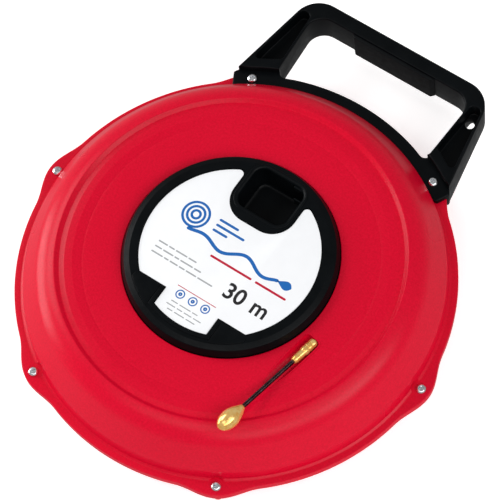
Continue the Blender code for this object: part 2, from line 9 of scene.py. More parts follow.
import bmesh
import bpy
from mathutils import Matrix, Vector


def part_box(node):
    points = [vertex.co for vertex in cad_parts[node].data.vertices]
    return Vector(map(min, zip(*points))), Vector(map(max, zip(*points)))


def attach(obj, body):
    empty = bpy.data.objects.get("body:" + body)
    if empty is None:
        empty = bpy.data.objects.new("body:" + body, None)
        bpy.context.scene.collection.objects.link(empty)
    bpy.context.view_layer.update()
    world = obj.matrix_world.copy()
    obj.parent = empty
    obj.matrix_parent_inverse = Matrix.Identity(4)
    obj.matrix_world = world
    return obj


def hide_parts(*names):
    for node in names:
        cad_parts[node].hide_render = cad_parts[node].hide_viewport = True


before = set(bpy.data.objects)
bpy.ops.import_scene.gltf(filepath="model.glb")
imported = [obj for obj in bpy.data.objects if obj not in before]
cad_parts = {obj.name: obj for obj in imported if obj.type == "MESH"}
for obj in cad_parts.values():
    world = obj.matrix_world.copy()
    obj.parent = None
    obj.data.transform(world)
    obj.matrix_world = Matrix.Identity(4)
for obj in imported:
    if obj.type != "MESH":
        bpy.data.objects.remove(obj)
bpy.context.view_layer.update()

MM = 0.001
GAP = 0.3 * MM

# Case
PART_Z = 43.2 * MM          # plane where the two shells meet
CASE_RADIUS = 165.0 * MM
LUG_REACH = 6.3 * MM
LUG_HALF_ANGLE = 11.0       # degrees
LUG_PITCH = 60.0            # degrees
LUG_START = 160.0 * MM      # the flange starts to widen into a lug here
SCREW_RADIUS = 164.3 * MM
SCREW_HOLE = 2.0 * MM
SCREW_BOSS = 4.2 * MM
SCREW_POCKET = 7.2 * MM     # scoop in the wall's foot round a screw head
FLANGE = 3.3 * MM
WALL = 3.0 * MM
FACE_RADIUS = 80.6 * MM     # hole in the front face for the disc
FACE_EDGE = 126.8 * MM      # foot of the step between face and shoulder
SHOULDER_FOOT = 128.5 * MM  # inside of that step, and end of the rear floor
SHOULDER = (124.95 * MM, 19.1 * MM, 24.5 * MM)      # centre radius, centre height, bend
SHOULDER_ANGLES = (79.0, 30.0)
CREASE = (157.0 * MM, 13.7 * MM)
REST_INNER = 84.0 * MM
PANEL_DEPTH = 6.0 * MM
POST_RADIUS = 12.0 * MM
POST_TOP = 24.0 * MM
CASE_STEPS = 480

# Pan-head screws: head radius, head height, thread radius
CASE_SCREW = (3.65 * MM, 2.2 * MM, 1.6 * MM)
DISC_SCREW = (3.0 * MM, 2.0 * MM, 1.5 * MM)
AXLE_SCREW = (5.0 * MM, 2.6 * MM, 2.0 * MM)
CLAMP_SCREW = (3.0 * MM, 1.8 * MM, 1.5 * MM)

# Handle
HANDLE_HALF = 14.0 * MM
PLATE_HALF = 8.3 * MM
PLATE_OUTER = 171.3 * MM
BRIDGE_INNER = 157.0 * MM
BRIDGE_OUTER = 168.0 * MM
WEB_HALF = 2.0 * MM
HANDLE_TOP = 225.7 * MM
GRIP_UNDERSIDE = 213.9 * MM
HANG_HOLE = (77.2 * MM, 200.5 * MM)
HANG_RADIUS = 3.7 * MM

# Disc and label
DISC_RADIUS = 80.0 * MM
DISC_TOP = 93.2 * MM
DISC_FLAT = 73.5 * MM       # radius of the flat top, which then slopes gently to the bend
DISC_BEND = (77.6 * MM, 91.6 * MM)
DISC_RIM_Z = 86.4 * MM
DISC_WALL = 2.5 * MM
DISC_PLATE_Z = 89.5 * MM
DISC_SKIRT_Z = 77.0 * MM
SEAT_Z = 91.9 * MM
LABEL_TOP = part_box("disc_label")[1].z
LABEL_RADIUS = 66.7 * MM
NOTCH_HALF = 26.8 * MM
NOTCH_Y = 25.2 * MM
NOTCH_CORNER = 19 * MM
TAB_HALF = 22.9 * MM
TAB_Y = -47.6 * MM
TAB_LINES_TOP = TAB_Y - 1.6 * MM
INK = 0.04 * MM
POCKET_HALF = 20.8 * MM
POCKET_Y = (35.4 * MM, 70.0 * MM)
POCKET_FLOOR = 67.0 * MM
COLUMN = (24.0 * MM, 30.0 * MM)     # ring that joins the disc to the drum
COLUMN_SCREW_RADIUS = 27.0 * MM
COLUMN_SCREW_HOLE = 1.9 * MM

# Drum, bearing and tape
HUB_TOP = 61.0 * MM
HUB_OUTER = 17.0 * MM
DRUM_FLOOR = 10.5 * MM
DRUM_RADIUS = 138.0 * MM
DRUM_TOP = 58.0 * MM
DRUM_LIP = 131.0 * MM
DRUM_WALL = 2.2 * MM
AXLE_RADIUS = 6.0 * MM
BUSH_RADIUS = 9.1 * MM
TAPE_RADIUS = 1.5 * MM
TAPE_TURNS = 37
TAPE_LAYERS = 4
COIL_INNER = 122.6 * MM
COIL_OUTER = 135.2 * MM
COIL_Z = (13.0 * MM, 46.2 * MM)
COIL_MARGIN = 1.6 * MM
LAYER_PITCH = 3.1 * MM
CLAMP_Z = COIL_Z[1] + 4.6 * MM

# Leader: the straight end of the tape, along the slide joint's axis
LEADER_BACK = Vector((88.7, -22.2, 82.1)) * MM
LEADER_TIP = Vector((72.5, -117.6, 95.3)) * MM
LEADER_LENGTH = (LEADER_TIP - LEADER_BACK).length
ALONG = (LEADER_TIP - LEADER_BACK).normalized()
SLEEVE_LENGTH = 22.0 * MM
SLEEVE_BORE = 8.0 * MM
SPRING_RADIUS = 1.7 * MM
WIRE_RADIUS = 0.3 * MM
TIP_LENGTH = 24.5 * MM
TIP_RADIUS = 6.7 * MM
TIP_NECK = 1.9 * MM
TIP_WIDEST = 0.56           # part of its length from the neck
ROD_INSIDE = 60.0 * MM
TROUGH_RADIUS = 6.5 * MM
TROUGH_DEPTH = 4.2 * MM
TROUGH_START = -1.2 * MM
LIP = 0.9 * MM              # how far the trough's rim reaches round it

# View
CAMERA_PLACE = Vector((0.62250, -0.61487, 1.95105))
CAMERA_FORWARD = Vector((-0.29749, 0.30388, -0.90507))
CAMERA_RIGHT = Vector((0.82035, 0.56631, -0.07951))
CAMERA_LENS = 203.7

# Studio; each light has its turn from +X and height in degrees, then its power
FLOOR_HALF = 3.0
FLOOR_GLOW = 0.46
WORLD_GLOW = 0.34
LIGHT_DISTANCE = 2.0
LIGHT_PANEL = (1.1, 0.7)
LIGHT_TARGET = Vector((0, 0, 0.05))
LIGHTS = [(180, 40, 13.5), (0, 40, 11.0), (315, 40, 6.5), (270, 62, 4.7), (0, 62, 3.8)]


# -------------------- outlines and solids

def mm(*corners):
    """Corners given in millimetres, as metres."""
    return [tuple(value * MM for value in corner) for corner in corners]


def around(count):
    return [2 * math.pi * n / count for n in range(count)]


def rounded(corners, segments=6):
    """The outline through (x, y, radius) corners, each rounded to its radius."""
    outline = []
    for i, (x, y, radius) in enumerate(corners):
        corner = Vector((x, y))
        if radius == 0:
            outline.append(corner)
            continue
        before = Vector(corners[i - 1][:2])
        after = Vector(corners[(i + 1) % len(corners)][:2])
        to_before = (before - corner).normalized()
        to_after = (after - corner).normalized()
        half = to_before.angle(to_after) / 2
        centre = corner + (to_before + to_after).normalized() * (radius / math.sin(half))
        start = corner + to_before * (radius / math.tan(half)) - centre
        end = corner + to_after * (radius / math.tan(half)) - centre
        first = math.atan2(start.y, start.x)
        sweep = (math.atan2(end.y, end.x) - first + math.pi) % (2 * math.pi) - math.pi
        for n in range(segments + 1):
            a = first + sweep * n / segments
            outline.append(centre + radius * Vector((math.cos(a), math.sin(a))))
    return outline


def mirrored(right):
    """Corners of the whole outline from those at +X, listed from top to bottom."""
    return right + [(-x, y, radius) for x, y, radius in reversed(right) if x > 0]


def polar(radius, angle, *height):
    return radius * math.cos(angle), radius * math.sin(angle), *height


def rectangle(x, y):
    return [Vector(corner) for corner in ((x, y), (x, -y), (-x, -y), (-x, y))]


def arc_corners(radius, start, end, steps):
    """Corners on a circle about the origin, at angles in degrees from +Y towards +X."""
    turns = [math.radians(start + (end - start) * i / steps) for i in range(steps + 1)]
    return [(radius * math.sin(a), radius * math.cos(a), 0) for a in turns]


def grown(outline, distance):
    """The outline moved outwards by distance, or inwards where distance is below zero."""
    count = len(outline)
    area = sum(outline[i - 1].cross(outline[i]) for i in range(count))
    side = 1 if area > 0 else -1
    shifted = []
    for i, point in enumerate(outline):
        into = (point - outline[i - 1]).normalized()
        out_of = (outline[(i + 1) % count] - point).normalized()
        normal = Vector((into.y + out_of.y, -into.x - out_of.x)).normalized() * side
        turn = max(0.3, math.cos(into.angle(out_of) / 2))
        shifted.append(point + normal * (distance / turn))
    return shifted


def quarter(edge, steps=4):
    """Steps round a quarter circle: how far along, and how far the wall is still away."""
    for n in range(steps + 1):
        a = math.radians(90 * n / steps)
        yield edge * (1 - math.cos(a)), edge * (1 - math.sin(a))


def solid_stations(low, high, edge):
    """(height, growth) of a plate whose two rims are rounded to edge."""
    bottom = [(low + along, -away) for along, away in quarter(edge)]
    top = [(high - along, -away) for along, away in quarter(edge)]
    return bottom + top[::-1]


def hole_stations(low, high, edge):
    """(height, growth) of a cutter that leaves both rims of a through hole rounded."""
    bottom = [(low + along, away) for along, away in quarter(edge)]
    top = [(high - along, away) for along, away in quarter(edge)]
    return [(low - MM, edge)] + bottom + top[::-1] + [(high + MM, edge)]


def pocket_stations(floor, mouth, edge, fillet):
    """(height, growth) of a cutter for a blind pocket, from its floor up or down to its mouth."""
    way = 1 if mouth > floor else -1
    base = [(floor + way * along, -away) for along, away in quarter(fillet)]
    rim = [(mouth - way * along, away) for along, away in quarter(edge)]
    return base + rim[::-1] + [(mouth + way * MM, edge)]


def lofted(outline, stations):
    """A closed solid whose section at each height is the outline, grown by that station's growth."""
    bm = bmesh.new()
    rings = []
    for height, growth in stations:
        section = grown(outline, growth) if growth else outline
        rings.append([bm.verts.new((x, y, height)) for x, y in section])
    bm.faces.new(rings[0])
    bm.faces.new(rings[-1])
    bridge(bm, rings)
    return bm


def bridge(bm, rings, closed=False):
    """Quads between each ring of vertices and the next."""
    following = rings[1:] + rings[:1] if closed else rings[1:]
    for ring, beyond in zip(rings, following):
        for i in range(len(ring)):
            j = (i + 1) % len(ring)
            corners = dict.fromkeys((ring[i], ring[j], beyond[j], beyond[i]))
            if len(corners) > 2:
                bm.faces.new(corners)


def plate(outline, low, high, edge=0.0):
    if edge:
        return lofted(outline, solid_stations(low, high, edge))
    return lofted(outline, [(low, 0), (high, 0)])


def lug_bump(angle):
    """How far the flange stands out of its circle in this direction."""
    off = (math.degrees(angle) + LUG_PITCH / 2) % LUG_PITCH - LUG_PITCH / 2
    if abs(off) >= LUG_HALF_ANGLE:
        return 0.0
    return LUG_REACH * math.cos(math.radians(90 * off / LUG_HALF_ANGLE)) ** 2


def turned(profile, steps=96, with_lugs=False, first=0.0):
    """The closed outline profile of (radius, height) points, turned about Z."""
    bm = bmesh.new()
    profile = [tuple(point[:2]) for point in profile]
    on_axis = {i: bm.verts.new((0, 0, h)) for i, (r, h) in enumerate(profile) if r < 1e-7}
    rings = []
    for n in range(steps):
        a = first + 2 * math.pi * n / steps
        ring = []
        for i, (r, h) in enumerate(profile):
            if with_lugs and r > LUG_START:
                r += lug_bump(a) * min(1.0, (r - LUG_START) / (CASE_RADIUS - LUG_START))
            ring.append(on_axis.get(i) or bm.verts.new(polar(r, a, h)))
        rings.append(ring)
    bridge(bm, rings, closed=True)
    return bm


def rod(radius, low, high, steps=32, centre=(0, 0)):
    bm = turned([(0, low), (radius, low), (radius, high), (0, high)], steps, first=0.13)
    bmesh.ops.translate(bm, verts=bm.verts, vec=(*centre, 0))
    return bm


def washer(inner, outer, low, high):
    corners = [(inner, low), (outer, low), (outer, high), (inner, high)]
    return turned(rounded([(r, h, 0.3 * MM) for r, h in corners], 3), 64)


def swept(points, radius, sides=12):
    """A tube of round section along the points, with flat ends."""
    bm = bmesh.new()
    rings = []
    side = None
    for i, point in enumerate(points):
        ahead = points[min(i + 1, len(points) - 1)] - points[max(i - 1, 0)]
        ahead.normalize()
        if side is None:
            side = ahead.orthogonal()
        side = (side - ahead * side.dot(ahead)).normalized()
        other = ahead.cross(side)
        section = [point + radius * (side * math.cos(a) + other * math.sin(a)) for a in around(sides)]
        rings.append([bm.verts.new(place) for place in section])
    bridge(bm, rings)
    bm.faces.new(rings[0])
    bm.faces.new(rings[-1])
    return bm


def aimed(place, direction):
    """A placement at a point, with local +Z along direction."""
    return Matrix.Translation(place) @ direction.to_track_quat("Z", "Y").to_matrix().to_4x4()


def moved(bm, matrix):
    bmesh.ops.transform(bm, matrix=matrix, verts=bm.verts)
    return bm


def joined(solids):
    """One mesh that holds several separate solids."""
    whole = bmesh.new()
    for bm in solids:
        mesh = bpy.data.meshes.new("part")
        bm.to_mesh(mesh)
        bm.free()
        whole.from_mesh(mesh)
        bpy.data.meshes.remove(mesh)
    return whole


def new_object(name, bm):
    bmesh.ops.recalc_face_normals(bm, faces=bm.faces)
    mesh = bpy.data.meshes.new(name)
    bm.to_mesh(mesh)
    bm.free()
    obj = bpy.data.objects.new(name, mesh)
    bpy.context.scene.collection.objects.link(obj)
    return obj


CUT, ADD = "DIFFERENCE", "UNION"


def taken(obj):
    """The object's mesh for use in another one; the object itself goes."""
    bm = bmesh.new()
    bm.from_mesh(obj.data)
    bpy.data.objects.remove(obj)
    return bm


def carve(obj, *steps):
    """Applies Boolean steps, each an operation and a solid, to the object's mesh."""
    tools = []
    for operation, bm in steps:
        tool = new_object("tool", bm)
        modifier = obj.modifiers.new("step", "BOOLEAN")
        modifier.operation = operation
        modifier.object = tool
        tools.append(tool)
    graph = bpy.context.evaluated_depsgraph_get()
    result = bpy.data.meshes.new_from_object(obj.evaluated_get(graph))
    obj.modifiers.clear()
    obj.data = result
    for tool in tools:
        bpy.data.objects.remove(tool)


def piece(obj, mat, body, slot, *nodes, sharp=32):
    """Gives a finished shape its shading and material, and makes it part of the model."""
    obj.data.materials.clear()
    obj.data.materials.append(mat)
    obj.data.shade_smooth()
    obj.data.set_sharp_from_angle(angle=math.radians(sharp))
    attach(obj, body)
    if nodes:
        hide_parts(*nodes)


# -------------------- materials

class Surface:
    """A Principled material with its nodes, made one after the other."""

    def __init__(self, name, roughness, metallic=0.0, **settings):
        self.mat = bpy.data.materials.new(name)
        self.mat.use_nodes = True
        self.tree = self.mat.node_tree
        self.shader = self.tree.nodes["Principled BSDF"]
        self.shader.inputs["Roughness"].default_value = roughness
        self.shader.inputs["Metallic"].default_value = metallic
        for label, value in settings.items():
            self.shader.inputs[label.replace("_", " ")].default_value = value
        self.coordinates = self.add("ShaderNodeTexCoord").outputs["Object"]

    def add(self, kind, inputs=None, **attributes):
        node = self.tree.nodes.new(kind)
        for label, value in attributes.items():
            setattr(node, label, value)
        for label, value in (inputs or {}).items():
            if isinstance(value, bpy.types.NodeSocket):
                self.tree.links.new(value, node.inputs[label])
            else:
                node.inputs[label].default_value = value
        return node

    def noise(self, size, detail=3.0, stretch=(1, 1, 1), rough=0.55):
        """Noise whose lumps are about size across, in metres."""
        place = self.add("ShaderNodeMapping", {"Vector": self.coordinates, "Scale": stretch})
        inputs = {"Vector": place.outputs[0], "Scale": 1 / size, "Detail": detail, "Roughness": rough}
        return self.add("ShaderNodeTexNoise", inputs).outputs["Fac"]

    def spread(self, value, low, high, out_low, out_high):
        inputs = {"Value": value, "From Min": low, "From Max": high, "To Min": out_low, "To Max": out_high}
        return self.add("ShaderNodeMapRange", inputs).outputs["Result"]

    def product(self, first, second):
        return self.add("ShaderNodeMath", {0: first, 1: second}, operation="MULTIPLY").outputs[0]

    def colours(self, value, first, second):
        """Base colour between two colours, over the middle of the value's range."""
        ramp = self.add("ShaderNodeValToRGB", {"Fac": value})
        stops = ramp.color_ramp.elements
        stops[0].position, stops[1].position = 0.35, 0.65
        stops[0].color, stops[1].color = (*first, 1), (*second, 1)
        self.tree.links.new(ramp.outputs["Color"], self.shader.inputs["Base Color"])

    def roughness(self, value, low, high):
        """Roughness between two numbers, over the middle of the value's range."""
        between = self.spread(value, 0.3, 0.7, low, high)
        self.tree.links.new(between, self.shader.inputs["Roughness"])

    def bump(self, *layers):
        """Each layer is a height between 0 and 1, and its depth in metres."""
        normal = None
        for height, depth in layers:
            inputs = {"Height": height, "Distance": depth, "Strength": 1.0}
            if normal:
                inputs["Normal"] = normal
            normal = self.add("ShaderNodeBump", inputs).outputs["Normal"]
        self.tree.links.new(normal, self.shader.inputs["Normal"])

    def from_axis(self):
        """Distance from the local Z axis."""
        flat = self.add("ShaderNodeMapping", {"Vector": self.coordinates, "Scale": (1, 1, 0)})
        length = self.add("ShaderNodeVectorMath", {0: flat.outputs[0]}, operation="LENGTH")
        return length.outputs["Value"]


def case_material():
    """Red moulded plastic: fine texture on the flat face, smoother on the shoulder."""
    s = Surface("red_case", 0.28, Specular_IOR_Level=0.16)
    s.colours(s.noise(1.6 * MM, 5, rough=0.75), (0.570, 0.0008, 0.018), (0.700, 0.0020, 0.027))
    on_face = s.spread(s.from_axis(), 107 * MM, 111 * MM, 1.0, 0.22)
    fine = s.product(s.noise(1.1 * MM, 2), on_face)
    s.roughness(s.noise(40 * MM, 1), 0.27, 0.32)
    s.bump((fine, 0.07 * MM), (s.noise(26 * MM, 1), 0.12 * MM))
    return s.mat


def black_material(name, colour, roughness, grain):
    """Black moulded plastic with a spark-eroded grain."""
    s = Surface(name, roughness, Specular_IOR_Level=0.085)
    s.colours(s.noise(22 * MM, 3), colour, [c * 1.35 + 0.0002 for c in colour])
    s.roughness(s.noise(5 * MM, 4), roughness - 0.05, roughness + 0.07)
    s.bump((s.noise(0.35 * MM, 2), grain), (s.noise(14 * MM, 2), 0.05 * MM))
    return s.mat


def film_material(name, colour):
    """Printed film, with the slight unevenness of the ink or the paper under it."""
    s = Surface(name, 0.3, Specular_IOR_Level=0.4, Coat_Weight=0.25, Coat_Roughness=0.15)
    s.colours(s.noise(9 * MM, 4), [c * 0.985 for c in colour], colour)
    s.bump((s.noise(6 * MM, 3), 0.02 * MM))
    return s.mat


def metal_material(name, dark, light, roughness, lines, metallic=1.0):
    """Turned or plated metal. Lines is the spacing of the marks round the local Z axis."""
    s = Surface(name, roughness, metallic=metallic)
    s.colours(s.noise(4 * MM, 4), dark, light)
    marks = s.noise(lines, 2, (0.03, 0.03, 1.0))
    s.roughness(marks, roughness - 0.05, roughness + 0.08)
    s.bump((marks, 0.004 * MM))
    return s.mat


def polymer_material():
    s = Surface("natural_polymer", 0.45, Subsurface_Weight=0.1, Subsurface_Scale=0.004)
    s.colours(s.noise(18 * MM, 3), (0.60, 0.585, 0.52), (0.68, 0.665, 0.60))
    s.roughness(s.noise(4 * MM, 3), 0.40, 0.52)
    s.bump((s.noise(0.8 * MM, 2), 0.012 * MM))
    return s.mat


def tape_material():
    """Coated fibreglass: the fibres show as fine streaks under a clear coat."""
    s = Surface("coated_fibreglass", 0.35, Coat_Weight=0.6, Coat_Roughness=0.12)
    s.colours(s.noise(1.2 * MM, 4, (0.2, 0.2, 1.0)), (0.62, 0.45, 0.05), (0.84, 0.68, 0.12))
    s.roughness(s.noise(3 * MM, 3), 0.28, 0.42)
    s.bump((s.noise(0.5 * MM, 2), 0.01 * MM))
    return s.mat


def floor_material():
    s = Surface("pale_floor", 0.9, Specular_IOR_Level=0.0)
    s.colours(s.noise(300 * MM, 2), (0.93, 0.93, 0.93), (0.96, 0.96, 0.96))
    s.shader.inputs["Emission Color"].default_value = (1, 1, 1, 1)
    s.shader.inputs["Emission Strength"].default_value = FLOOR_GLOW
    return s.mat


# -------------------- case

def shoulder(bend, steps=24):
    centre_r, centre_h, _ = SHOULDER
    first, last = SHOULDER_ANGLES
    for i in range(steps + 1):
        a = math.radians(first + (last - first) * i / steps)
        yield centre_r + bend * math.cos(a), centre_h + bend * math.sin(a), 0


def shell_side():
    """Outside from the shoulder to the flange, then back up the inside."""
    outside = list(shoulder(SHOULDER[2]))
    outside += [(*CREASE, 1.2 * MM), (158.2 * MM, 4.5 * MM, 0.8 * MM), (160.2 * MM, FLANGE, 1.2 * MM)]
    outside += [(CASE_RADIUS, FLANGE, 0.5 * MM), (CASE_RADIUS, GAP / 2, 0)]
    inside = [(155.2 * MM, GAP / 2, 0), (CREASE[0] - 0.95 * WALL, CREASE[1] - 1.2 * MM, 0)]
    return outside + inside + list(shoulder(SHOULDER[2] - WALL, 12))[::-1]


def case_screw_places():
    """Number, x and y of the six case screws; the first two go through the handle's feet."""
    for number, degrees in enumerate([60, 120, 0, 180, 240, 300], 1):
        yield number, *polar(SCREW_RADIUS, math.radians(degrees))


def face_heights(lift=0.0):
    """Corners of the face from the disc's hole out to the step below the shoulder."""
    corners = mm((108.5, 41.3, 0.7), (109.5, 41.2, 0.6), (110.8, 41.45, 0.8))
    corners += mm((116.5, 41.95, 4.0), (122.5, 41.4, 3.0), (FACE_EDGE / MM, 40.2, 0.7))
    return [(r, h + lift, bend) for r, h, bend in corners]


def trough_placement(extra_slope, start):
    """The trough's axis lies on the face at its back end and rises out of it towards the tip."""
    along = LEADER_TIP - LEADER_BACK
    back = LEADER_BACK + Vector((-1.5 * MM, 0, TROUGH_RADIUS - TROUGH_DEPTH))
    back += ALONG * start
    along.z += extra_slope
    return aimed(back, along)


def trough_cutter(radius, length, placement):
    corners = [(0, 0, 0), (radius, 0, 3 * MM), (radius, length, 0), (0, length, 0)]
    return moved(turned(rounded(corners, 8), 72, first=0.02), placement)


def front_case(mat):
    top = [(FACE_RADIUS, 38.8 * MM, 0), (FACE_RADIUS, 41.8 * MM, 0.7 * MM)] + face_heights()
    underside = [(SHOULDER_FOOT, 37.6 * MM, 0), (116.5 * MM, 38.9 * MM, 0), (109.5 * MM, 38.2 * MM, 0)]
    side = shell_side()
    side[0] = (*side[0][:2], 0.8 * MM)
    profile = [Vector((r, PART_Z + h)) for r, h in rounded(top + side + underside, 4)]
    shell = new_object("front_case", turned(profile, CASE_STEPS, with_lugs=True))

    turn = Vector((0, 1)).angle_signed(ALONG.xy)
    outline = rounded(mm((-10, -8, 3), (-10, 56, 6), (8.5, 56, 6), (8.5, -8, 3)))
    block = moved(
        plate(outline, 73 * MM, 84 * MM, 1 * MM),
        Matrix.Translation((*LEADER_BACK.xy, 0)) @ Matrix.Rotation(-turn, 4, "Z"),
    )
    slab = [(86 * MM, 40.0 * MM, 0), (86 * MM, 42.1 * MM, 0)] + face_heights(0.45 * MM)
    slab = [(r, PART_Z + h) for r, h in rounded(slab + [(FACE_EDGE, 39.5 * MM, 0)], 4)]
    lip = new_object("lip", turned(slab, 240, first=0.003))
    outer = trough_cutter(TROUGH_RADIUS + LIP, 50 * MM, trough_placement(1.4 * MM, TROUGH_START - LIP))
    carve(lip, ("INTERSECT", outer))

    trough = trough_cutter(TROUGH_RADIUS, 70 * MM, trough_placement(0.0, TROUGH_START))
    guide = moved(rod(2.3 * MM, -45 * MM, 4 * MM), aimed(LEADER_BACK, ALONG))
    steps = [(ADD, block), (ADD, taken(lip)), (CUT, trough), (CUT, guide)]
    for number, x, y in case_screw_places():
        hole = rod(SCREW_HOLE, PART_Z - 2 * MM, PART_Z + 10 * MM, 24, (x, y))
        steps.append((CUT, hole))
        if number > 2:
            floor = PART_Z + FLANGE + 0.05 * MM
            steps.append((CUT, rod(SCREW_POCKET, floor, PART_Z + 20 * MM, 48, (x, y))))
    carve(shell, *steps)
    piece(shell, mat, "case", "case", "front_shell")


def rear_case(mat):
    rest, panel = PART_Z, PART_Z - PANEL_DEPTH
    floor = [
        (0, rest, 0),
        (16 * MM, rest, 1 * MM),
        (19 * MM, panel, 1.5 * MM),
        (40 * MM, panel, 0.4 * MM),
        (41 * MM, panel + 1 * MM, 0.4 * MM),
        (44 * MM, panel + 1 * MM, 0.4 * MM),
        (45 * MM, panel, 0.4 * MM),
        (REST_INNER - 4 * MM, panel, 1.5 * MM),
        (REST_INNER, rest, 1 * MM),
        (SHOULDER_FOOT, rest, 0),
    ]
    inside = [
        (127.2 * MM, rest - WALL, 0),
        (REST_INNER + WALL, rest - WALL, 1 * MM),
        (REST_INNER - 1 * MM, panel - WALL, 1 * MM),
        (POST_RADIUS, panel - WALL, 1.5 * MM),
        (POST_RADIUS, PART_Z - POST_TOP, 0.5 * MM),
        (AXLE_RADIUS + GAP, PART_Z - POST_TOP, 0.3 * MM),
        (AXLE_RADIUS + GAP, rest - 4 * MM, 0),
        (0, rest - 4 * MM, 0),
    ]
    profile = rounded(floor + shell_side() + inside, 4)
    profile = [(r, PART_Z - h) for r, h in profile]
    shell = new_object("rear_case", turned(profile, CASE_STEPS, with_lugs=True))
    steps = []
    for number, x, y in case_screw_places():
        if number > 2:
            corners = [(0, 30 * MM, 0), (SCREW_BOSS, 30 * MM, 0.8 * MM)]
            corners += [(SCREW_BOSS, PART_Z - 2 * MM, 0), (0, PART_Z - 2 * MM, 0)]
            boss = turned(rounded(corners), 40, first=0.05)
            bmesh.ops.translate(boss, verts=boss.verts, vec=(x, y, 0))
            steps.append((ADD, boss))
        steps.append((CUT, rod(SCREW_HOLE, 32.5 * MM, PART_Z + 2 * MM, 24, (x, y))))
    carve(shell, *steps)
    piece(shell, mat, "case", "case", "rear_shell")


# -------------------- handle

def hand_gap():
    corners = [(71.3 * MM, GRIP_UNDERSIDE, 14 * MM), (67.9 * MM, 153.6 * MM, 5 * MM)]
    return rounded(mirrored(corners + arc_corners(BRIDGE_OUTER, 19, 0, 12)), 12)


def flange_space():
    """The case's rim with a gap round it, which the handle's groove is cut to."""
    wall, edge = CREASE[0] + 2 * GAP, CASE_RADIUS + GAP
    half_rim = [
        (130.0 * MM, 30.0 * MM),
        (wall - 9.4 * MM, 30.0 * MM),
        (wall, CREASE[1]),
        (158.8 * MM, 4.8 * MM),
        (160.2 * MM, FLANGE + GAP),
        (edge, FLANGE + GAP),
    ]
    profile = [(r, PART_Z + h) for r, h in half_rim]
    profile += [(r, PART_Z - h) for r, h in reversed(half_rim)]
    return turned(profile, CASE_STEPS, with_lugs=True)


def carry_handle(mat):
    low, high = PART_Z - HANDLE_HALF, PART_Z + HANDLE_HALF
    corners = [(81.0 * MM, HANDLE_TOP, 22 * MM), (95.55 * MM, 143.7 * MM, 0)]
    outline = rounded(mirrored(corners + arc_corners(PLATE_OUTER, 31, 0, 24)), 16)
    body = new_object("carry_handle", plate(outline, low, high, 1.5 * MM))
    carve(body, (CUT, lofted(hand_gap(), hole_stations(low, high, 1.5 * MM))))

    low, high = PART_Z - PLATE_HALF, PART_Z + PLATE_HALF
    corners = arc_corners(PLATE_OUTER + 3.2 * MM, 0, 31, 24)
    corners += mm((94.9, 147.6, 0), (95.5, 144.0, 0), (98.1, 140.4, 2.5), (93.0, 131.0, 1.4))
    corners += arc_corners(BRIDGE_INNER, 34.6, 0, 24)
    feet = new_object("feet", plate(rounded(mirrored(corners), 8), low, high, 1.0 * MM))
    carve(feet, (CUT, lofted(hand_gap(), hole_stations(low, high, 1.0 * MM))))

    steps = [(ADD, taken(feet)), (CUT, flange_space())]
    for side in (1, -1):
        arm = mm((73.0, 210.4, 4.2), (81.8, 210.4, 4.2), (88.4, 170.0, 8))
        arm += mm((90.8, 154.5, 3), (70.3, 166.5, 3))
        outline = rounded([(side * x, y, radius) for x, y, radius in arm], 6)
        for way in (1, -1):
            floor, mouth = PART_Z + way * WEB_HALF, PART_Z + way * HANDLE_HALF
            pocket = lofted(outline, pocket_stations(floor, mouth, 0.7 * MM, 1.2 * MM))
            steps.append((CUT, pocket))
    circle = [HANG_RADIUS * Vector(polar(1, a)) + Vector(HANG_HOLE) for a in around(40)]
    hang = lofted(circle, hole_stations(PART_Z - WEB_HALF, PART_Z + WEB_HALF, 0.6 * MM))
    steps.append((CUT, hang))
    for number, x, y in case_screw_places():
        if number <= 2:
            hole = rod(SCREW_HOLE, PART_Z - HANDLE_HALF, PART_Z + HANDLE_HALF, 24, (x, y))
            steps.append((CUT, hole))
    carve(body, *steps)
    piece(body, mat, "case", "moulding", "handle", sharp=28)


def grip_strip(mat):
    low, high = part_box("grip_insert")
    top, bottom, end = high.y, low.y, high.x
    corners = [(end, top, 0), (end - 2.6 * MM, bottom, 1.2 * MM)]
    strip = plate(rounded(mirrored(corners), 6), low.z, high.z, 0.7 * MM)
    obj = new_object("grip_strip", strip)
    piece(obj, mat, "case", "grip", "grip_insert")


# -------------------- screws

